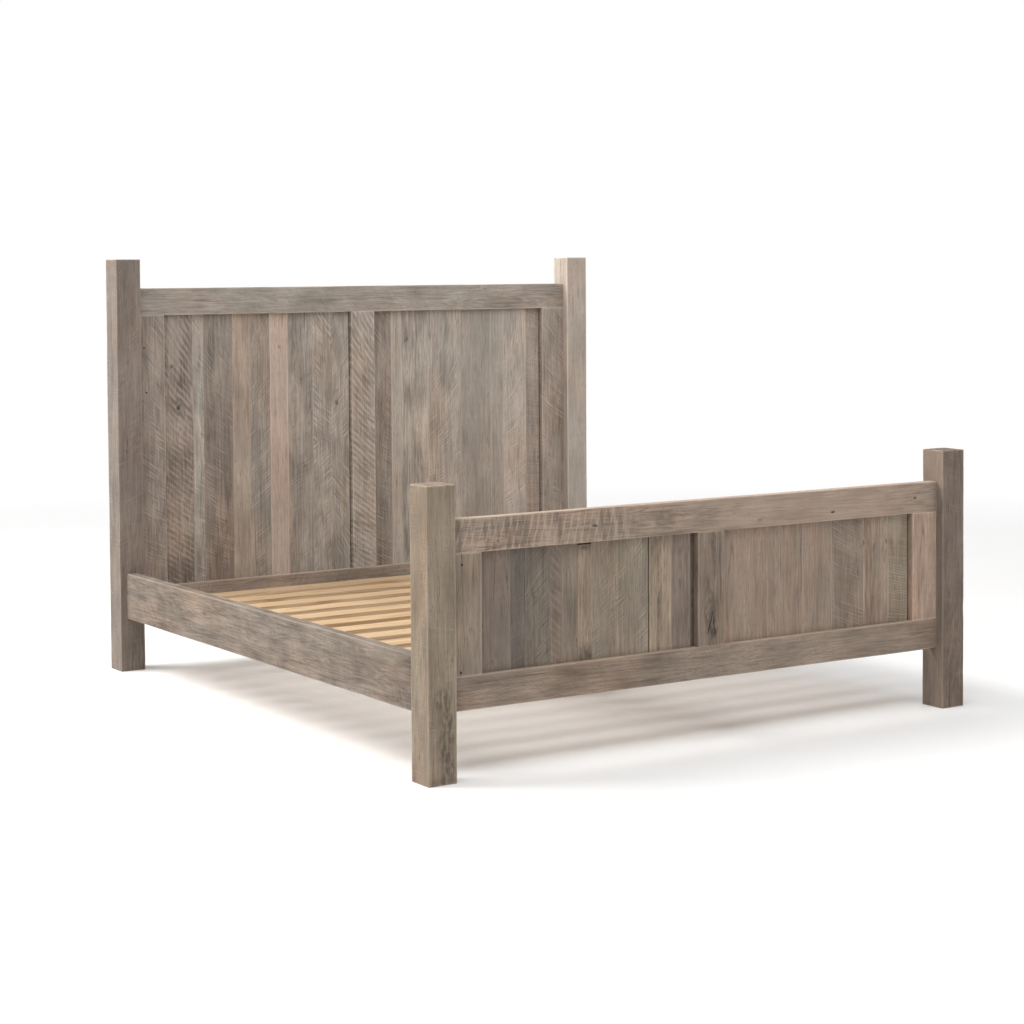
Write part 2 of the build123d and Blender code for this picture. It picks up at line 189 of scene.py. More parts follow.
# ---------------------------------------- cracks, knots and wear
def crack_wander(crack, along):
    """How far sideways a crack has wandered at each distance along the timber."""
    run = crack.end - crack.start
    share = (along - crack.start) / run
    inside = np.clip(share, 0, 1)
    wave = 0.0011 * np.sin(along * 71 + crack.place * 900)
    wave += 0.0006 * np.sin(along * 173 + crack.start * 50)
    beyond = np.maximum(share - 1, 0) * abs(run)
    return (crack.lean * inside + wave * smooth(inside, 0, 0.15)) * np.exp(-((beyond / 0.03) ** 2))


def crack_opening(crack, along, length):
    """How open a crack is along its run, from 0 to 1. One that starts at the timber's end is open there."""
    share = (along - crack.start) / (crack.end - crack.start)
    inside = np.clip(share, 0, 1)
    from_end = crack.start < 0.001 or crack.start > length - 0.001
    opening = (1 - inside) ** 0.6 if from_end else np.sqrt(4 * inside * (1 - inside))
    return np.where((share >= 0) & (share <= 1), opening, 0)


def follow_cracks(rest, size, cracks):
    """Bends the mesh's columns sideways so that they run along each crack."""
    for crack in cracks:
        side = crack.face[2]
        away = rest[:, side] - crack.place
        edge = np.minimum(rest[:, side], size[side] - rest[:, side])
        pull = np.exp(-((away / 0.02) ** 2)) * smooth(edge, 0, 0.008)
        rest[:, side] += pull * crack_wander(crack, rest[:, 2])
    return rest


def rounded(rest, size, radius):
    """The box's points with its edges rounded to a radius of their own, and which way each one faces."""
    core = np.clip(rest, radius[:, None], size - radius[:, None])
    outward = rest - core
    facing = outward / np.linalg.norm(outward, axis=1)[:, None]
    return core + facing * radius[:, None], facing


def edge_radius(rest, size, wear, seed):
    """Small where the edge is crisp, larger where it is worn or chipped."""
    uneven = noise(rest, (30, 30, 14), seed)
    nick = np.clip(noise(rest, (70, 70, 42), seed + 1) - 0.5, 0, 1)
    chip = np.clip(noise(rest, (24, 24, 9), seed + 2) - 0.5, 0, 1)
    radius = wear * (ROUNDING + 0.0004 * uneven + 0.003 * nick + 0.007 * chip)
    return np.clip(radius, 0.0005, 0.3 * min(size))


def relief(rest, facing, size, wear, seed, knots, holes, cracks):
    """How far each point stands out from the flat surface, and how much of a crack or hole it is, for the
    painted shade in it.
    """
    height = np.zeros(len(rest))
    for number, (deep, scale) in enumerate(UNEVENNESS, start=3):
        height += wear * deep * noise(rest, scale, seed + number)
    dark = np.zeros(len(rest))
    for knot in knots:
        away = knot_distance(rest, knot, seed)
        rim = np.exp(-(((away - 1) / 0.2) ** 2))
        height += knot.strength * (KNOT_BULGE * np.clip(1 - away**2, 0, 1) - KNOT_RIM * rim)
    for hole in holes:
        away = np.hypot(rest[:, 0] - hole.across, rest[:, 2] - hole.along) / hole.radius
        deep = smooth(away, 1.25, 0.7) * (facing[:, 1] < -0.5)
        height -= HOLE_DEPTH * deep
        dark = np.maximum(dark, deep)
    for crack in cracks:
        axis, end, side = crack.face
        opening = crack_opening(crack, rest[:, 2], size[2])
        away = np.abs(rest[:, side] - crack.place - crack_wander(crack, rest[:, 2]))
        on_face = facing[:, axis] * (1 if end else -1) > 0.5
        deep = np.clip(1 - away / (crack.width * np.maximum(opening, 0.05)), 0, 1) * opening * on_face
        height -= crack.depth * deep
        dark = np.maximum(dark, smooth(deep, 0.0, 0.45))
    return height, dark


def knot_distance(rest, knot, seed):
    """Distance from a knot's heart, in knot radii. Knots are uneven, and longer along the grain."""
    away = np.hypot(rest[:, 0] - knot.across, (rest[:, 2] - knot.along) / KNOT_STRETCH) / knot.radius
    near = away < 4
    away[near] += 0.65 * noise(rest[near], (120, 120, 50), seed + 8)
    away[near] += 0.30 * noise(rest[near], (280, 280, 120), seed + 9)
    return away


def grain_places(rest, knots, shift):
    """Where each point lies in the grain pattern, which flows round the knots."""
    across, through, along = rest.T
    bent = across.copy()
    for knot in knots:
        beside = across - knot.across
        beyond = (along - knot.along) / 3.2
        bent -= beside * knot.radius**2 / (beside**2 + beyond**2 + 0.15 * knot.radius**2)
    return np.stack([bent, along, through], 1) + shift


def edge_wear_and_highlight(rest, size, seed):
    """How worn each point is, with a painted highlight along the edges: most on the edges, none out on the
    faces.
    """
    from_faces = np.sort(np.minimum(rest, size - rest), axis=1)
    return smooth(from_faces[:, 1], 0.006, 0.0008) * (0.7 + 0.3 * noise(rest, (40, 40, 12), seed + 6))


def stain_and_light_depth(rest, facing, stains, seed):
    """How far stains darken or lighten each point, with an uneven border; some are painted light and some
    painted shade.
    """
    total = np.zeros(len(rest))
    for stain_and_light in stains:
        side = stain_and_light.face[2] if stain_and_light.face else 0
        across = (rest[:, side] - stain_and_light.across) / stain_and_light.reach_across
        along = (rest[:, 2] - stain_and_light.along) / stain_and_light.reach_along
        away = np.hypot(across, along) + 0.35 * noise(rest, (60, 60, 22), seed + 7)
        depth = stain_and_light.strength * smooth(away, 1.1, 0.3)
        if stain_and_light.face:
            axis, end, _ = stain_and_light.face
            depth *= smooth(facing[:, axis] * (1 if end else -1), 0.5, 0.9)
        total = np.where(np.abs(depth) > np.abs(total), depth, total)
    return total


def saw_strength(rest, patches):
    """Where the saw marks show: everywhere, or only round the given patches."""
    if not patches:
        return np.ones(len(rest))
    total = np.zeros(len(rest))
    for patch in patches:
        away = np.hypot(rest[:, 0] - patch.across, rest[:, 2] - patch.along)
        total = np.maximum(total, smooth(away, patch.reach, 0.6 * patch.reach))
    return total


def own_marks(size, seed, faces):
    """The knots and cracks that every old timber has, different on each."""
    random = np.random.default_rng(seed)
    knots = []
    for _ in range(random.poisson(3 * size[0] * size[2])):
        across, along = random.uniform(0.15, 0.85) * size[0], random.uniform(0.06, 0.94) * size[2]
        knots.append(Knot(across, along, random.uniform(0.003, 0.009), random.uniform(0.4, 0.8)))
    cracks = []
    for face in faces:
        width = size[face[2]]
        for start in (0.0, size[2]):
            reach = random.uniform(0.04, 0.16) * (1 if start == 0 else -1)
            if random.random() < 0.35 and width > 0.03:
                place = random.uniform(0.25, 0.75) * width
                lean = random.uniform(-0.004, 0.004)
                cracks.append(Crack(face, place, start, start + reach, lean, **END_CRACK))
        if random.random() < 0.3 and width > 0.06:
            start = random.uniform(0.2, 0.6) * size[2]
            reach = random.uniform(0.05, 0.14)
            place = random.uniform(0.2, 0.8) * width
            lean = random.uniform(-0.005, 0.005)
            cracks.append(Crack(face, place, start, start + reach, lean, **FACE_CRACK))
    return knots, cracks


# ---------------------------------------- one timber
class Timber:
    """The mesh of one worn timber: its points on the bed, its quads and what its material reads."""

    def __init__(
        self, low, high, axes, seed, wear=1.0, coarse=1.0, marks=(), faces=(FRONT, BACK),
        own_knots=True, own_cracks=True,
    ):
        low = np.array(low, float)
        size = (np.array(high, float) - low)[list(axes)]
        kinds = (Knot, Hole, Crack, StainAndLight, SawPatch)
        sorted_marks = ([mark for mark in marks if isinstance(mark, kind)] for kind in kinds)
        knots, holes, cracks, stains, saw_patches = sorted_marks
        more_knots, more_cracks = own_marks(size, seed, faces)
        if own_knots and not knots:
            knots = more_knots
        if own_cracks:
            cracks += more_cracks
        self.size = size
        samples = sample_distances(size, coarse, knots, holes, cracks)
        self.rest, self.quads = box_surface(self.prepared(samples))
        rest = follow_cracks(self.rest.copy(), size, cracks)
        radius = edge_radius(rest, size, wear, seed)
        points, facing = rounded(rest, size, radius)
        height, dark = relief(rest, facing, size, wear, seed, knots, holes, cracks)
        height += self.moulding(rest, facing)
        points = self.reshaped(rest, points + facing * height[:, None])
        knotty = np.zeros(len(rest))
        for knot in knots:
            knotty = np.maximum(knotty, knot.strength * smooth(knot_distance(rest, knot, seed), 1.3, 0.6))
        shift = GRAIN_SHIFT * (seed % 97)
        # Edges facing up get more of the edge mask, and the whole tops of level timbers are added to it.
        # This is a painted highlight, as if lit from above, over the worn edges.
        upward = smooth(facing[:, axes.index(2)], 0.1, 0.6)
        worn = edge_wear_and_highlight(rest, size, seed) * min(1, wear) * (0.5 + 0.5 * upward)
        if axes == LEVEL:
            worn = np.maximum(worn, 0.5 * upward)
        stain_and_light_depths = stain_and_light_depth(rest, facing, stains, seed)
        self.grain = grain_places(rest, knots, shift)
        self.marks = np.stack([dark, knotty, worn, stain_and_light_depths], 1)
        self.saw = saw_strength(rest, saw_patches)
        self.middle = shift[:2] + (size[0] / 2, size[2] / 2)
        self.points = np.empty_like(points)
        for own_axis, bed_axis in enumerate(axes):
            self.points[:, bed_axis] = points[:, own_axis] + low[bed_axis]
        mirrored = np.linalg.det(np.eye(3)[list(axes)]) < 0
        if mirrored:
            self.quads = self.quads[:, ::-1]

    def prepared(self, samples):
        """The distances to sample at; a board adds its own."""
        return samples

    def moulding(self, rest, facing):
        """How far a worked shape stands out; a plain timber has none."""
        return 0

    def reshaped(self, rest, points):
        """The points of any outline that isn't a plain box; a plain timber's stay."""
        return points


class Board(Timber):
    """A shiplap board: its back half is shifted sideways under its neighbour, and it may have a groove."""

    def __init__(self, outline, low, high, seed, marks, own):
        self.outline = outline
        super().__init__(low, high, UPRIGHT, seed, wear=0.6, marks=marks, own_knots=own, own_cracks=own)

    def prepared(self, samples):
        across, through, along = samples
        middle = self.size[1] / 2
        apart = through[np.abs(through - middle) > GROOVE_EDGE]
        through = np.sort(np.concatenate([apart, [middle - 0.0001, middle + 0.0001]]))
        if self.outline["groove"]:
            nearby = (-GROOVE_EDGE, 0, GROOVE_EDGE)
            edges = [edge + offset for edge in self.outline["groove"] for offset in nearby]
            across = np.unique(np.concatenate([across, edges]))
        return across, through, along

    def moulding(self, rest, facing):
        if not self.outline["groove"]:
            return 0
        left, right = self.outline["groove"]
        inside = smooth(rest[:, 0], left - GROOVE_EDGE, left)
        inside *= smooth(rest[:, 0], right + GROOVE_EDGE, right)
        return -GROOVE_DEPTH * inside * (facing[:, 1] < -0.5)

    def reshaped(self, rest, points):
        behind = rest[:, 1] > self.size[1] / 2
        back_left, back_right = self.outline["back"]
        moved = back_left + points[:, 0] * (back_right - back_left) / self.size[0]
        points[:, 0] = np.where(behind, moved, points[:, 0])
        shorter = points[:, 2] * (1 - self.outline["drop"] / self.size[2])
        points[:, 2] = np.where(behind, points[:, 2], shorter)
        return points


def make_piece(name, timbers, material, node):
    """One object from one or more timbers, riding on the bed frame in place of its CAD node."""
    starts = np.cumsum([0] + [len(timber.points) for timber in timbers])
    points = np.concatenate([timber.points for timber in timbers])
    quads = np.concatenate([timber.quads + start for timber, start in zip(timbers, starts)])
    mesh = bpy.data.meshes.new(name)
    mesh.from_pydata(points, [], quads)
    mesh.shade_smooth()
    values = {
        "grain": ("FLOAT_VECTOR", "vector", np.concatenate([timber.grain for timber in timbers])),
        "marks": ("FLOAT_COLOR", "color", np.concatenate([timber.marks for timber in timbers])),
        "saw": ("FLOAT", "value", np.concatenate([timber.saw for timber in timbers])),
    }
    for label, (kind, field, value) in values.items():
        attribute = mesh.attributes.new(label, kind, "POINT")
        attribute.data.foreach_set(field, value.astype(np.float32).ravel())
    mesh.materials.append(material)
    piece = bpy.data.objects.new(name, mesh)
    bpy.context.scene.collection.objects.link(piece)
    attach(piece, "bed_frame")
    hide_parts(node)


# ---------------------------------------- materials
class Nodes:
    """Adds and joins the nodes of one material."""

    def __init__(self, name):
        self.material = bpy.data.materials.new(name)
        self.material.use_nodes = True
        self.tree = self.material.node_tree
        self.shader = self.tree.nodes["Principled BSDF"]

    def join(self, value, socket):
        """Links another node's output to a socket, or sets a plain value on it."""
        if isinstance(value, bpy.types.NodeSocket):
            self.tree.links.new(value, socket)
        else:
            socket.default_value = value

    def add(self, kind, inputs=None, output=0, **settings):
        """A new node with these settings and inputs; gives back one of its outputs."""
        node = self.tree.nodes.new(kind)
        for key, value in settings.items():
            setattr(node, key, value)
        for socket, value in (inputs or {}).items():
            self.join(value, node.inputs[socket])
        return node.outputs[output]

    def maths(self, operation, *values):
        """Arithmetic on plain values."""
        return self.add("ShaderNodeMath", dict(enumerate(values)), operation=operation)

    def vector(self, operation, *values, output=0):
        """Arithmetic on vectors; output 1 gives a plain value, such as a length."""
        return self.add("ShaderNodeVectorMath", dict(enumerate(values)), output, operation=operation)

    def noise(self, place, scale, detail=2.0, roughness=0.5):
        """Noise from 0 to 1, with so many bumps in a metre on each axis."""
        scaled = self.vector("MULTIPLY", place, scale)
        inputs = {"Vector": scaled, "Scale": 1.0, "Detail": detail, "Roughness": roughness}
        return self.add("ShaderNodeTexNoise", inputs)

    def between(self, value, low, high, to_low=0.0, to_high=1.0):
        """The value's place between low and high, as a number from to_low to to_high."""
        return self.add("ShaderNodeMapRange", {0: value, 1: low, 2: high, 3: to_low, 4: to_high})

    def mix(self, share, first, second, blend="MIX"):
        """The first colour, turned into the second one by a share."""
        inputs = {0: share, 6: first, 7: second}
        return self.add("ShaderNodeMix", inputs, 2, data_type="RGBA", blend_type=blend)

    def cover(self, colour, where, share, layer, blend="MIX"):
        """A colour with a layer over it where a value is 1, at a share of its strength."""
        return self.mix(self.maths("MULTIPLY", where, share), colour, layer, blend)

    def ramp(self, value, stops):
        """A smooth run of colours; each stop is (place, colour)."""
        node = self.tree.nodes.new("ShaderNodeValToRGB")
        self.join(value, node.inputs[0])
        elements = node.color_ramp.elements
        while len(elements) < len(stops):
            elements.new(0.5)
        for element, (place, colour) in zip(elements, stops):
            element.position = place
            element.color = colour
        return node.outputs[0]


def rgba(colour, shade=1.0):
    """A colour at a share of its brightness, with full alpha."""
    return (*(channel * shade for channel in colour), 1.0)


TONES = {
    "slate": (0.144, 0.119, 0.102),
    "tawny": (0.197, 0.158, 0.119),
    "mauve": (0.185, 0.147, 0.121),
    "moss": (0.170, 0.142, 0.115),
    "umber": (0.200, 0.158, 0.125),
    "honey": (0.246, 0.191, 0.144),
    "olive": (0.236, 0.196, 0.153),
    "brown": (0.262, 0.203, 0.160),
    "dove": (0.268, 0.222, 0.190),
    "rose": (0.328, 0.242, 0.190),
    "sand": (0.348, 0.285, 0.235),
    "ash": (0.330, 0.288, 0.252),
    "blush": (0.440, 0.353, 0.300),
}
# Painted shade: the near-black inside cracks and nail holes.
CRACK_SHADE_BLACK = (0.012, 0.010, 0.009)
WARM_TINT = (1.05, 0.985, 0.93)
COOL_TINT = (0.97, 1.005, 1.0)


def read_timber(n):
    """What a timber's mesh says at each place: its grain place, cracks and holes (painted shade), knots,
    worn edges with a painted highlight, and stains, some of them painted light and some painted shade.
    """
    grain = n.add("ShaderNodeAttribute", output=1, attribute_name="grain")
    marks = n.tree.nodes.new("ShaderNodeAttribute")
    marks.attribute_name = "marks"
    split = n.tree.nodes.new("ShaderNodeSeparateColor")
    n.join(marks.outputs[0], split.inputs[0])
    crack, knot, worn = split.outputs
    return grain, crack, knot, worn, marks.outputs[3]


def grown_wood(n, grain):
    """The noises that make up wood as it grew, from the finest fibres to the broadest changes of tint."""
    fibre = n.noise(grain, (620, 11, 620), 3, 0.65)
    streak = n.noise(grain, (110, 4.0, 110), 3, 0.6)
    bands = n.noise(grain, (20, 1.2, 20), 2)
    patch = n.noise(grain, (14, 6.0, 14), 3)
    tint = n.noise(grain, (7, 2.4, 7), 2)
    return fibre, streak, bands, patch, tint


def grown_colour(n, tone, contrast, fibre, streak, bands, patch, tint):
    """The colour of the bare wood round its tone, a little warmer or cooler from place to place."""
    rings = n.maths("SINE", n.maths("MULTIPLY", bands, 120.0))
    value = 0.5 - 1.5 * contrast
    for part, share in ((fibre, 0.75), (streak, 0.80), (bands, 0.45), (patch, 1.00), (rings, 0.08)):
        value = n.maths("MULTIPLY_ADD", part, share * contrast, value)
    colour = n.ramp(value, [(0.0, rgba(tone, 0.55)), (0.5, rgba(tone)), (1.0, rgba(tone, 1.5))])
    colour = n.mix(n.between(tint, 0.5, 0.68), colour, rgba(WARM_TINT), "MULTIPLY")
    return n.mix(n.between(tint, 0.5, 0.32), colour, rgba(COOL_TINT), "MULTIPLY")


def saw_marks(n, grain, saw, middle):
    """Where a circular saw's strokes stand up, with a painted highlight, and where painted shade lies
    between them, each from 0 to 1.
    """
    flat_place = n.vector("MULTIPLY", n.vector("SUBTRACT", grain, (*middle, 0)), (1, 1, 0))
    if saw.folded:
        flat_place = n.vector("ABSOLUTE", flat_place)
    reach = n.vector("DISTANCE", flat_place, (saw.across, saw.along, 0), output=1)
    wobble = n.maths("MULTIPLY", n.noise(grain, (30, 12, 30), 1), 1.0 + 2.0 * saw.broken)
    turns = n.maths("MULTIPLY_ADD", reach, 2 * math.pi / saw.pitch, wobble)
    stroke = n.add("ShaderNodeCombineXYZ", {0: n.maths("MULTIPLY", turns, 1.5 / (2 * math.pi))})
    uneven_place = n.vector("ADD", n.vector("MULTIPLY", grain, (24, 10, 24)), stroke)
    ridge = n.maths("POWER", n.between(n.maths("SINE", turns), -1, 1), saw.sharp)
    level = n.maths("SUBTRACT", n.noise(uneven_place, (1, 1, 1), 1.5), saw.even / (1 + saw.sharp))
    wave = n.maths("MULTIPLY_ADD", ridge, saw.even, level)
    least = 0.08 + 0.3 * saw.broken
    broken = n.between(n.noise(grain, (26, 9, 26), 2), least, least + 0.24)
    where = n.add("ShaderNodeAttribute", output=2, attribute_name="saw")
    patchy = n.maths("MULTIPLY", broken, where)
    raised_and_lit = n.maths("MULTIPLY", n.between(wave, 0.57, 0.73), patchy)
    shaded = n.maths("MULTIPLY", n.between(wave, 0.44, 0.27), patchy)
    return raised_and_lit, shaded


def barnwood(name, look, saw_middle):
    """Weathered reclaimed softwood: grain, saw marks, pits, hairline splits, knots, stains and wear, with
    painted highlight and shade.
    """
    n = Nodes(name)
    tone = [channel * look.shade for channel in TONES[look.tone]]
    grain, crack, knot, worn, stain_and_light = read_timber(n)
    fibre, streak, bands, patch, tint = grown_wood(n, grain)
    colour = grown_colour(n, tone, look.contrast, fibre, streak, bands, patch, tint)
    if look.saw:
        raised_and_lit, shaded = saw_marks(n, grain, look.saw, saw_middle)
        # The saw strokes are painted: lighter where they stand up, a painted highlight, and darker between
        # them, painted shade.
        colour = n.cover(colour, shaded, 0.38 * look.saw.strength, rgba(tone, 0.55))
        colour = n.cover(colour, raised_and_lit, 0.40 * look.saw.strength, rgba(tone, 1.6))

    pores = n.between(n.noise(grain, (380, 32, 380), 1), 0.58, 0.70)
    colour = n.cover(colour, pores, 0.32, rgba(tone, 0.4))
    pits = n.between(n.noise(grain, (210, 38, 210), 2), 0.60, 0.70)
    pits = n.maths("MULTIPLY", pits, n.between(patch, 0.48, 0.62))
    colour = n.cover(colour, pits, 0.5, rgba(tone, 0.35))
    hair = n.maths("ABSOLUTE", n.maths("SUBTRACT", n.noise(grain, (48, 1.1, 48), 1), 0.5))
    hair = n.maths("MULTIPLY", n.between(hair, 0.0, 0.010, 1.0, 0.0), n.between(tint, 0.42, 0.55))
    colour = n.cover(colour, hair, 0.6, rgba(tone, 0.4))

    speckle = n.between(n.noise(grain, (90, 30, 90), 3), 0.38, 0.58)
    # Positive stains darken the wood, and just under the short board's top gap that is painted shade.
    # Negative ones lighten it, and on the right foot post's left face that is painted light.
    soiled_and_shaded = n.maths("MULTIPLY", n.between(stain_and_light, 0.0, 1.0), speckle)
    colour = n.cover(colour, soiled_and_shaded, 0.8, rgba(tone, 0.35))
    faded_and_lit = n.between(stain_and_light, 0.0, -1.0)
    colour = n.cover(colour, faded_and_lit, 0.5, rgba(tone, 1.6))
    # Worn edges in a lighter tone, with a painted highlight on the edges and on the tops of level timbers.
    colour = n.mix(worn, colour, rgba(tone, 1.9))
    heart = n.ramp(n.noise(grain, (300, 60, 300), 3), [(0.38, rgba(tone, 0.16)), (0.62, rgba(tone, 0.55))])
    colour = n.mix(n.between(knot, 0.1, 0.7, 0.0, 0.9), colour, heart)
    # Cracks and nail holes are painted near-black: painted shade in the hollows.
    colour = n.mix(crack, colour, rgba(CRACK_SHADE_BLACK))
    n.join(colour, n.shader.inputs["Base Color"])
    n.join(n.between(fibre, 0.3, 0.7, 0.95, 0.78), n.shader.inputs["Roughness"])
    n.shader.inputs["Specular IOR Level"].default_value = 0.25

    height = n.maths("MULTIPLY_ADD", streak, 0.8, fibre)
    height = n.maths("MULTIPLY_ADD", pits, -0.6, height)
    height = n.maths("MULTIPLY_ADD", hair, -0.7, height)
    if look.saw:
        height = n.maths("MULTIPLY_ADD", raised_and_lit, 0.5 * look.saw.strength, height)
    bump = n.add("ShaderNodeBump", {"Strength": 0.8, "Distance": 0.0009, "Height": height})
    n.join(bump, n.shader.inputs["Normal"])
    return n.material


PINE_LIGHT = (0.55, 0.41, 0.265)
PINE_DARK = (0.39, 0.245, 0.13)
PINE_EDGE = tuple(0.8 * channel for channel in PINE_DARK)
PINE_BLOTCH = (0.86, 0.78, 0.68)
PINE_KNOT = (0.17, 0.075, 0.03)
# The dark painted into the pine's cracks, as shade.
PINE_CRACK_SHADE = (0.05, 0.03, 0.02)


def planed_pine():
    """Clean planed pine for the hidden supports: soft growth bands, fine fibres and a few knots."""
    n = Nodes("support_pine")
    grain, crack, knot, worn, _ = read_timber(n)
    fibre = n.noise(grain, (700, 9, 700), 3, 0.6)
    bands = n.noise(grain, (20, 0.5, 20), 2)
    rings = n.between(n.maths("SINE", n.maths("MULTIPLY", bands, 95.0)), -0.2, 1.0)
    value = n.maths("MULTIPLY_ADD", fibre, 0.5, n.maths("MULTIPLY", rings, 0.6))
    colour = n.ramp(value, [(0.15, rgba(PINE_LIGHT)), (0.9, rgba(PINE_DARK))])
    blotch = n.between(n.noise(grain, (5, 1.2, 5), 2), 0.35, 0.65)
    colour = n.cover(colour, blotch, 0.35, rgba(PINE_BLOTCH), "MULTIPLY")
    colour = n.cover(colour, worn, 0.2, rgba(PINE_EDGE))
    colour = n.cover(colour, knot, 0.85, rgba(PINE_KNOT))
    # The pine's cracks are painted dark: painted shade.
    colour = n.mix(crack, colour, rgba(PINE_CRACK_SHADE))
    n.join(colour, n.shader.inputs["Base Color"])
    n.join(n.between(fibre, 0.3, 0.7, 0.68, 0.5), n.shader.inputs["Roughness"])
    n.shader.inputs["Specular IOR Level"].default_value = 0.35
    height = n.maths("MULTIPLY_ADD", rings, -0.3, fibre)
    bump = n.add("ShaderNodeBump", {"Strength": 0.5, "Distance": 0.0004, "Height": height})
    n.join(bump, n.shader.inputs["Normal"])
    return n.material


ZINC_DARK = (0.36, 0.37, 0.38)
ZINC_LIGHT = (0.62, 0.63, 0.62)
PLASTIC_BLACK = (0.014, 0.014, 0.015)
PLASTIC_DUST = (0.09, 0.085, 0.08)


def zinc_steel():
    """Zinc-plated steel with the faint cloudy spangle and rub marks of plated hardware."""
    n = Nodes("zinc_steel")
    place = n.add("ShaderNodeTexCoord", output=3)
    cloud = n.noise(place, (160, 160, 160), 3, 0.6)
    rub = n.noise(place, (900, 120, 120), 2)
    colour = n.ramp(cloud, [(0.3, rgba(ZINC_DARK)), (0.7, rgba(ZINC_LIGHT))])
    n.join(colour, n.shader.inputs["Base Color"])
    n.join(n.between(rub, 0.3, 0.7, 0.26, 0.48), n.shader.inputs["Roughness"])
    n.shader.inputs["Metallic"].default_value = 1.0
    bump = n.add("ShaderNodeBump", {"Strength": 0.3, "Distance": 0.0002, "Height": rub})
    n.join(bump, n.shader.inputs["Normal"])
    return n.material


def foot_plastic():
    """Black moulded plastic with a fine spark-eroded texture and a little dust."""
    n = Nodes("foot_plastic")
    place = n.add("ShaderNodeTexCoord", output=3)
    dust = n.between(n.noise(place, (60, 60, 60), 3), 0.5, 0.75)
    grit = n.noise(place, (1500, 1500, 1500), 2)
    colour = n.cover(rgba(PLASTIC_BLACK), dust, 0.25, rgba(PLASTIC_DUST))
    n.join(colour, n.shader.inputs["Base Color"])
    n.join(n.between(grit, 0.3, 0.7, 0.42, 0.62), n.shader.inputs["Roughness"])
    bump = n.add("ShaderNodeBump", {"Strength": 0.4, "Distance": 0.0002, "Height": grit})
    n.join(bump, n.shader.inputs["Normal"])
    return n.material


# ---------------------------------------- marks that show from the front
# Each is (X from the bed's middle, Z above the floor), and then the other values of its kind.
FRONT_KNOTS = {
    "foot": [
        (-0.4365, 0.702, 0.006, 0.8), (0.4945, 0.686, 0.005, 0.8), (0.8495, 0.709, 0.005, 0.7),
        (-0.2885, 0.704, 0.003, 0.4), (0.1925, 0.681, 0.005, 0.3), (-0.7835, 0.683, 0.004, 0.4),
        (-0.4965, 0.363, 0.006, 0.4), (-0.4495, 0.313, 0.004, 0.4), (-0.3675, 0.442, 0.003, 0.4),
        (-0.4275, 0.281, 0.004, 0.4), (0.6405, 0.574, 0.006, 0.6), (0.6885, 0.577, 0.003, 0.4),
        (0.7365, 0.574, 0.005, 0.5), (0.0050, 0.345, 0.014, 0.6),
    ],
    "head": [
        (0.2045, 1.191, 0.008, 0.8), (-0.8075, 1.111, 0.006, 0.6), (-0.7775, 0.957, 0.009, 0.7),
        (-0.9225, 1.185, 0.005, 0.6), (-0.3585, 1.174, 0.005, 0.4), (0.2365, 1.377, 0.005, 0.4),
    ],
}
FRONT_HOLES = {
    "foot": [(-0.9065, 0.623, 0.0032), (-0.9125, 0.311, 0.003)],
    "head": [(-0.915, 1.02, 0.003)],
}
FRONT_STAINS = {
    "foot": [
        (0.6840, 0.565, 0.008, 0.035, 1.0), (0.6880, 0.524, 0.008, 0.016, 1.0),
        (0.7400, 0.575, 0.008, 0.030, 1.0), (0.6000, 0.480, 0.035, 0.060, 0.4),
        (0.7800, 0.615, 0.050, 0.060, -0.9), (0.6410, 0.420, 0.006, 0.140, -1.0),
        (0.7480, 0.400, 0.005, 0.120, -1.0),
    ],
    "head": [],
}
FRONT_MARKS = ((Knot, FRONT_KNOTS), (Hole, FRONT_HOLES), (StainAndLight, FRONT_STAINS))

# The split in the footboard's mullion: where it forks, and how far down and sideways each branch runs.
MULLION_FORK = (0.0055, 0.410)
MULLION_BRANCHES = ((0.076, -0.020), (0.088, 0.011))

# Other marks, as distances across and along the timber that each is on.
TIMBER_MARKS = {
    "foot_left_post": [
        StainAndLight(0.062, 0.13, 0.034, 0.20, 1.0), StainAndLight(0.040, 0.25, 0.040, 0.05, 1.0),
        StainAndLight(0.060, 0.01, 0.050, 0.04, 0.9), StainAndLight(0.048, 0.70, 0.090, 0.30, -0.25, FRONT),
    ],
    # The right foot post's left face is painted lighter, most of all high up: painted light, as if lit from
    # the left.
    "foot_right_post": [
        StainAndLight(0.050, 0.14, 0.060, 0.24, 0.35), StainAndLight(0.048, 0.30, 0.150, 0.50, -0.5, LOW_SIDE),
        StainAndLight(0.048, 0.86, 0.150, 0.24, -1.0, LOW_SIDE),
    ],
    "foot_top_rail": [
        SawPatch(0.05, 0.30, 0.42), StainAndLight(0.05, 1.40, 0.30, 0.62, -1.0),
        StainAndLight(0.05, 0.76, 0.035, 0.11, 0.45),
    ],
    "foot_bottom_rail": [StainAndLight(0.05, 1.45, 0.30, 0.55, -0.35)],
    "foot_mullion": [StainAndLight(0.045, 0.12, 0.028, 0.10, 0.7), StainAndLight(0.062, 0.30, 0.012, 0.12, 0.6)],
    "head_left_board_01": [StainAndLight(0.045, 0.93, 0.040, 0.16, -0.8), StainAndLight(0.030, 0.55, 0.035, 0.12, -0.5)],
}


def mark_place(x, z, low, axes):
    """A place on the front of an end panel, as distances across and along one of its timbers."""
    return (x - low.x, z - low.z) if axes == UPRIGHT else (z - low.z, x - low.x)


def front_marks(panel, low, high, axes):
    """The front knots, nail holes and stains that fall on a timber."""
    found = []
    for kind, marks in FRONT_MARKS:
        for x, z, *details in marks[panel]:
            if low.x < x < high.x and low.z < z < high.z:
                found.append(kind(*mark_place(x, z, low, axes), *details))
    return found


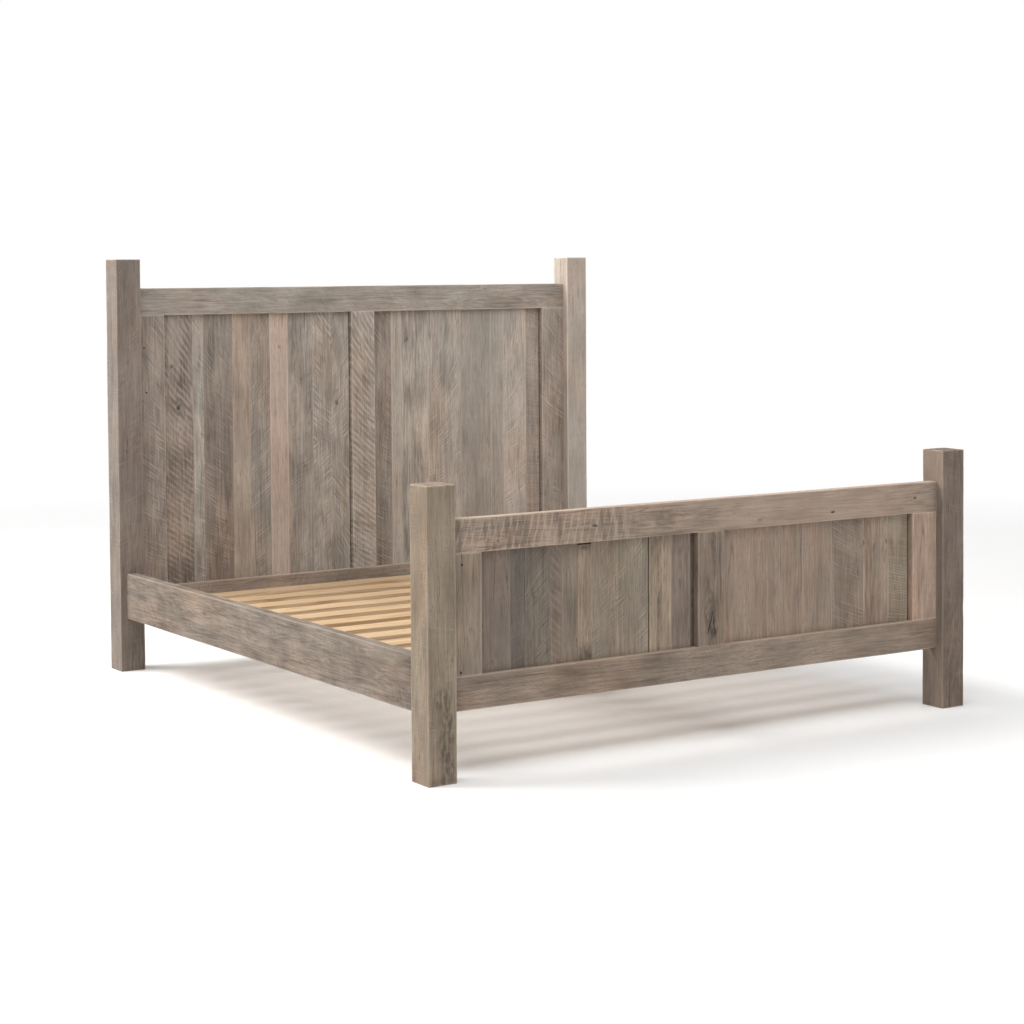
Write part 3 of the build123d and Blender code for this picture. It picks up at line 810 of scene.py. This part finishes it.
# ---------------------------------------- looks
FINE_SAW = Saw(-0.60, 1.60, 0.0080, 1.0)
POST_SAW = Saw(0.50, 1.50, 0.0085, 0.6)
LEVEL_SAW = Saw(0.35, 1.20, 0.0085, 1.1, even=0.25, broken=0.5)
RISING_SAW = Saw(-0.80, 1.00, 0.0120, 1.4)
ROUGH_SAW = Saw(1.20, 2.10, 0.0095, 1.1, even=0.2, broken=0.6)
FALLING_SAW = Saw(0.80, 0.95, 0.0120, 1.4)
BOLD_SAW = Saw(0.90, 0.95, 0.0185, 1.5, even=0.3, sharp=2, broken=0.4)
ARC_SAW = Saw(-0.30, 0.45, 0.0125, 1.2)
STEEP_SAW = Saw(0.40, -2.20, 0.0235, 1.9, even=0.3, sharp=9, broken=0)
SLANT_SAW = Saw(-0.50, -1.20, 0.0120, 0.5)
CHEVRON_SAW = Saw(-0.70, 0.90, 0.0145, 1.6, folded=True)
FAINT_BOLD_SAW = BOLD_SAW._replace(strength=0.8)
FAINT_LEVEL_SAW = LEVEL_SAW._replace(strength=0.8)

LOOKS = {
    "foot_left_post": Look("tawny", 1.14, POST_SAW, 0.9),
    "foot_right_post": Look("mauve", 0.92, POST_SAW, 1.1),
    "head_left_post": Look("dove", 0.71, FINE_SAW, 0.9),
    "head_right_post": Look("ash", 1.23, None, 0.6),
    "foot_top_rail": Look("brown", 0.965, STEEP_SAW, 1.4),
    "foot_bottom_rail": Look("brown", 0.89, SLANT_SAW, 1.3),
    "foot_left_stile": Look("umber", 1.22, None, 0.9),
    "foot_right_stile": Look("rose", 1.08, None, 1.1),
    "foot_mullion": Look("umber", 1.05, None, 1.0),
    "head_top_rail": Look("ash", 0.93, SLANT_SAW, 1.2),
    "head_bottom_rail": Look("brown", 1.0, FINE_SAW, 1.1),
    "head_left_stile": Look("dove", 0.95, FALLING_SAW, 1.2),
    "head_right_stile": Look("dove", 1.18, FALLING_SAW, 1.1),
    "head_mullion": Look("ash", 1.03, BOLD_SAW, 1.1),
    # The side rails' tone is set darker than their wood, as painted shade; the left one most.
    "left_side_rail": Look("sand", 0.51, FINE_SAW, 1.7),
    "right_side_rail": Look("sand", 0.60, ARC_SAW, 1.4),
}

# The boards of each bay, from left to right.
BOARD_LOOKS = {
    "foot_left": [
        Look("mauve", 0.97, None, 0.7), Look("slate", 0.97, FINE_SAW, 0.9),
        Look("moss", 0.93, RISING_SAW, 1.0), Look("mauve", 1.00, FAINT_BOLD_SAW, 1.2),
        Look("umber", 1.00, None, 1.0), Look("honey", 0.87, None, 1.8),
        Look("olive", 0.96, ARC_SAW, 0.9), Look("olive", 1.03, ARC_SAW, 1.0),
        Look("olive", 1.12, None, 1.4), Look("mauve", 1.27, None, 1.0),
    ],
    "foot_right": [
        Look("brown", 1.05, None, 0.8), Look("brown", 1.05, None, 0.8),
        Look("brown", 1.09, None, 0.8), Look("brown", 0.87, ROUGH_SAW, 0.9),
        Look("brown", 1.01, None, 1.3), Look("olive", 1.06, LEVEL_SAW, 0.9),
    ],
    "head_left": [
        Look("dove", 0.90, BOLD_SAW, 1.6), Look("ash", 0.97, FALLING_SAW, 1.6),
        Look("dove", 0.89, FALLING_SAW, 1.3), Look("sand", 0.98, None, 1.0),
        Look("ash", 0.84, RISING_SAW, 1.2), Look("blush", 1.03, None, 0.6),
        Look("ash", 0.90, FINE_SAW, 1.4), Look("ash", 1.04, CHEVRON_SAW, 1.4),
    ],
    "head_right": [
        Look("dove", 1.03, FALLING_SAW, 1.3), Look("ash", 1.22, None, 0.7),
        Look("ash", 1.16, None, 1.7), Look("ash", 1.16, ARC_SAW, 1.2),
        Look("ash", 1.01, None, 0.8), Look("ash", 1.12, None, 0.7),
        Look("ash", 1.31, ARC_SAW, 0.8), Look("dove", 1.13, FAINT_LEVEL_SAW, 1.1),
    ],
}


# ---------------------------------------- end panels
POSTS = ("foot_left_post", "foot_right_post", "head_left_post", "head_right_post")
PANEL_TIMBERS = ("top_rail", "bottom_rail", "left_stile", "right_stile", "mullion")
SHORT_BOARD = "foot_left_board_06"


def panel_places(panel):
    """The visible edges of an end panel's parts, worked out from its CAD nodes."""
    return {
        "posts": (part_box(f"{panel}_left_post")[1].x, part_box(f"{panel}_right_post")[0].x),
        "opening": (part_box(f"{panel}_bottom_rail")[1].z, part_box(f"{panel}_top_rail")[0].z),
        "left": (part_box(f"{panel}_left_stile")[1].x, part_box(f"{panel}_mullion")[0].x),
        "right": (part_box(f"{panel}_mullion")[1].x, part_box(f"{panel}_right_stile")[0].x),
    }


def make_timber_piece(name, low, high, axes, seed, look, **details):
    """A piece made of one barn-wood timber, in place of the CAD node of the same name."""
    timber = Timber(low, high, axes, seed, **details)
    material = barnwood(f"wood_{name}", look, timber.middle)
    make_piece(f"{name}_wood", [timber], material, name)


def make_posts():
    """The four posts, worn on all four sides."""
    for seed, name in enumerate(POSTS, start=11):
        low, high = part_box(name)
        make_timber_piece(
            name, low, high, UPRIGHT, seed, LOOKS[name], wear=1.15, marks=TIMBER_MARKS.get(name, []),
            faces=(FRONT, BACK, LOW_SIDE, HIGH_SIDE), own_knots=False,
        )


def make_panel_frame(panel, first_seed):
    """The rails, stiles and mullion of one end panel."""
    places = panel_places(panel)
    for seed, part in enumerate(PANEL_TIMBERS, start=first_seed):
        name = f"{panel}_{part}"
        low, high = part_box(name)
        if part.endswith("rail"):
            axes = LEVEL
            low.x, high.x = places["posts"][0] - HIDDEN_END, places["posts"][1] + HIDDEN_END
        else:
            axes = UPRIGHT
            low.z, high.z = places["opening"][0] - CLOSED_REVEAL, places["opening"][1] + CLOSED_REVEAL
        marks = front_marks(panel, low, high, axes) + TIMBER_MARKS.get(name, [])
        if name == "foot_mullion":
            marks += mullion_split(low)
        make_timber_piece(name, low, high, axes, seed, LOOKS[name], marks=marks)


def mullion_split(low):
    """The forked split down the footboard's mullion."""
    fork = mark_place(*MULLION_FORK, low, UPRIGHT)
    return [Crack(FRONT, *fork, fork[1] - drop, lean, **SPLIT_CRACK) for drop, lean in MULLION_BRANCHES]


def edges_at(corners, y):
    """The X of each edge of a board that lies at one Y, from left to right."""
    return np.unique(np.round(corners[np.abs(corners[:, 1] - y) < 1e-5, 0], 5))


def outline_of(name, low, high):
    """A board's front and back spans and its groove, read from its CAD node and trimmed to its opening."""
    corners = np.array([vertex.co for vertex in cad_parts[name].data.vertices])
    front_y, back_y = corners[:, 1].min(), corners[:, 1].max()
    front = edges_at(corners, front_y)
    back = edges_at(corners, back_y)
    left = max(front[0], low)
    groove = (front[1] - left, front[2] - left) if len(front) == 4 else None
    right = min(front[-1], high)
    tongue = back[-1] - front[-1]
    if right < high and tongue < LAP + NARROW_REVEAL:
        right += tongue - LAP - CLOSED_REVEAL
    return {
        "front": (left, right),
        "back": (max(back[0], low), min(back[-1], high)),
        "groove": groove,
        "y": (front_y, back_y),
    }


def make_boards(panel, side, first_seed):
    """The random-width boards of one bay, each its own piece."""
    places = panel_places(panel)
    left, right = places[side][0] - HIDDEN_END, places[side][1] + HIDDEN_END
    bottom, top = places["opening"][0] - HIDDEN_END, places["opening"][1] + HIDDEN_END
    for number, look in enumerate(BOARD_LOOKS[f"{panel}_{side}"], start=1):
        name = f"{panel}_{side}_board_{number:02d}"
        outline = outline_of(name, left, right)
        low = Vector((outline["front"][0], outline["y"][0], bottom))
        high = Vector((outline["front"][1], outline["y"][1], top))
        outline["back"] = tuple(x - low.x for x in outline["back"])
        outline["drop"] = SHORT_BOARD_DROP + HIDDEN_END if name == SHORT_BOARD else 0
        marks = front_marks(panel, low, high, UPRIGHT) + TIMBER_MARKS.get(name, [])
        # Each groove is darker over most of its length, most in its lower part. The short board has painted
        # shade just under the gap at its top, and a stain at its foot.
        if outline["groove"]:
            marks.append(StainAndLight(sum(outline["groove"]) / 2, 0.16, 0.006, 0.17, 0.9))
        if name == SHORT_BOARD:
            marks.append(StainAndLight(0.022, high.z - low.z - SHORT_BOARD_DROP, 0.028, 0.014, 0.9))
            marks.append(StainAndLight(0.025, 0.015, 0.050, 0.040, 0.9))
        board = Board(outline, low, high, first_seed + number, marks, own=panel == "head")
        material = barnwood(f"wood_{name}", look, board.middle)
        make_piece(f"{name}_wood", [board], material, name)


def make_side_rails():
    """The two long side rails between the posts."""
    for seed, name in enumerate(("left_side_rail", "right_side_rail"), start=61):
        low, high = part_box(name)
        make_timber_piece(name, low, high, SIDE, seed, LOOKS[name], faces=(FRONT, BACK, HIGH_SIDE))


# ---------------------------------------- mattress support
SLAT_COUNT = 13
SLAT_WIDTH = 0.089
LEG_SIZE = 0.064
PLANED_WEAR = 0.6
SCREW_DIP = 0.0006


def make_support():
    """The slats, cleats, centre beam and legs, all planed pine."""
    pine = planed_pine()
    cleat_low, cleat_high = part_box("ledger_cleats")
    cleat_size = cleat_high.z - cleat_low.z
    cleat_middle = cleat_high.x - cleat_size / 2
    low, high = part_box("mattress_slats")
    half_width = SLAT_WIDTH / 2
    slats = []
    for number, y in enumerate(np.linspace(low.y + half_width, high.y - half_width, SLAT_COUNT)):
        corner, other = (low.x, y - half_width, low.z), (high.x, y + half_width, high.z)
        slats.append(Timber(corner, other, SLAT, seed=200 + number, wear=PLANED_WEAR, coarse=1.9))
        sink_screw_heads(slats[-1], [(x - low.x, half_width) for x in (-cleat_middle, 0, cleat_middle)])
    make_piece("slats_wood", slats, pine, "mattress_slats")

    cleats = []
    for number, x in enumerate((cleat_low.x, cleat_high.x - cleat_size)):
        corner, other = (x, cleat_low.y, cleat_low.z), (x + cleat_size, cleat_high.y, cleat_high.z)
        cleats.append(Timber(corner, other, BEAM, seed=230 + number, wear=PLANED_WEAR, coarse=1.6))
    make_piece("cleats_wood", cleats, pine, "ledger_cleats")

    low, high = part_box("centre_beam")
    beam = Timber(low, high, BEAM, seed=240, wear=PLANED_WEAR, coarse=1.4)
    make_piece("beam_wood", [beam], pine, "centre_beam")

    low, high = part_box("centre_legs")
    legs = []
    for number, y in enumerate((low.y, high.y - LEG_SIZE)):
        corner, other = (low.x, y, low.z), (high.x, y + LEG_SIZE, high.z)
        legs.append(Timber(corner, other, UPRIGHT, seed=250 + number, wear=PLANED_WEAR, coarse=1.2))
    make_piece("legs_wood", legs, pine, "centre_legs")


def sink_screw_heads(slat, places):
    """A shallow dip in a slat's top round each screw head."""
    top = slat.points[:, 2].max() - 0.003
    for along, across in places:
        away = np.hypot(slat.rest[:, 2] - along, slat.rest[:, 0] - across)
        slat.points[:, 2] -= np.where(slat.points[:, 2] > top, SCREW_DIP * smooth(away, 0.016, 0.006), 0)


def finish_hardware():
    """The steel and plastic parts keep their CAD shapes and get their own materials."""
    steel = zinc_steel()
    plastic = foot_plastic()
    for name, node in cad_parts.items():
        if node.hide_render:
            continue
        node.data.materials.clear()
        node.data.materials.append(plastic if name.endswith("pad") else steel)


# ---------------------------------------- floor, light and camera
FLOOR_RADIUS = 7.0
BACKDROP_RADIUS = 55.0
FLOOR_DARK = (0.80, 0.80, 0.80)
FLOOR_LIGHT = (0.83, 0.83, 0.83)


def make_floor():
    """A plain pale floor that fades into the backdrop a few metres from the bed."""
    mesh = bpy.data.meshes.new("floor")
    shape = bmesh.new()
    bmesh.ops.create_circle(shape, cap_ends=True, segments=96, radius=FLOOR_RADIUS)
    shape.to_mesh(mesh)
    shape.free()
    n = Nodes("floor")
    place = n.add("ShaderNodeTexCoord", output=3)
    cloud = n.noise(place, (0.6, 0.6, 0.6), 3)
    n.join(n.ramp(cloud, [(0.3, rgba(FLOOR_DARK)), (0.7, rgba(FLOOR_LIGHT))]), n.shader.inputs["Base Color"])
    n.shader.inputs["Roughness"].default_value = 0.9
    away = n.vector("LENGTH", place, output=1)
    solid = n.between(away, FLOOR_RADIUS, 0.35 * FLOOR_RADIUS)
    n.join(solid, n.shader.inputs["Alpha"])
    mesh.materials.append(n.material)
    floor = bpy.data.objects.new("floor", mesh)
    bpy.context.scene.collection.objects.link(floor)


def area_light(name, place, target, size, power, colour=(1, 1, 1)):
    """A soft square light that the camera doesn't see."""
    data = bpy.data.lights.new(name, "AREA")
    data.size = size
    data.energy = power
    data.color = colour
    light = bpy.data.objects.new(name, data)
    light.location = place
    light.rotation_mode = "QUATERNION"
    light.rotation_quaternion = (Vector(target) - Vector(place)).to_track_quat("-Z", "Y")
    light.visible_camera = False
    bpy.context.scene.collection.objects.link(light)


def make_backdrop():
    """A white dome round the studio that only the camera sees."""
    mesh = bpy.data.meshes.new("backdrop")
    shape = bmesh.new()
    bmesh.ops.create_icosphere(shape, subdivisions=4, radius=BACKDROP_RADIUS)
    shape.to_mesh(mesh)
    shape.free()
    material = bpy.data.materials.new("backdrop")
    material.use_nodes = True
    tree = material.node_tree
    tree.nodes.clear()
    glow = tree.nodes.new("ShaderNodeEmission")
    glow.inputs["Color"].default_value = (1, 1, 1, 1)
    output = tree.nodes.new("ShaderNodeOutputMaterial")
    tree.links.new(glow.outputs[0], output.inputs[0])
    mesh.materials.append(material)
    dome = bpy.data.objects.new("backdrop", mesh)
    dome.visible_diffuse = False
    dome.visible_glossy = False
    dome.visible_shadow = False
    bpy.context.scene.collection.objects.link(dome)


def make_lights():
    """Soft studio light: mostly from above and the front, with a keener light from behind the left side."""
    world = bpy.data.worlds.new("studio")
    world.use_nodes = True
    background = world.node_tree.nodes["Background"]
    background.inputs["Color"].default_value = (1, 1, 1, 1)
    background.inputs["Strength"].default_value = 0.67
    bpy.context.scene.world = world
    area_light("key_light", (-4.4, 2.4, 4.8), (0, 0, 0.5), size=3.8, power=500, colour=(1.0, 0.97, 0.93))
    area_light("top_light", (-1.0, -2.6, 6.5), (0, 0, 0.4), size=6.0, power=285)


def make_camera():
    """A long lens a little above the mattress height, off the foot end's left corner."""
    place = Matrix.Translation((-4.2546, -6.5609, 1.4874))
    yaw, pitch, roll = 0.5745, 0.0428, -0.0062
    data = bpy.data.cameras.new("camera")
    data.sensor_width = 36.0
    data.lens = 78.5
    data.shift_y = -0.149
    camera = bpy.data.objects.new("camera", data)
    turn = Matrix.Rotation(-yaw, 4, "Z") @ Matrix.Rotation(math.pi / 2 - pitch, 4, "X")
    camera.matrix_world = place @ turn @ Matrix.Rotation(roll, 4, "Z")
    bpy.context.scene.collection.objects.link(camera)
    bpy.context.scene.camera = camera


# ---------------------------------------- everything
make_posts()
make_panel_frame("foot", first_seed=21)
make_panel_frame("head", first_seed=31)
make_boards("foot", "left", first_seed=100)
make_boards("foot", "right", first_seed=120)
make_boards("head", "left", first_seed=140)
make_boards("head", "right", first_seed=160)
make_side_rails()
make_support()
finish_hardware()
make_floor()
make_backdrop()
make_lights()
make_camera()
bpy.context.scene.view_settings.view_transform = "Standard"
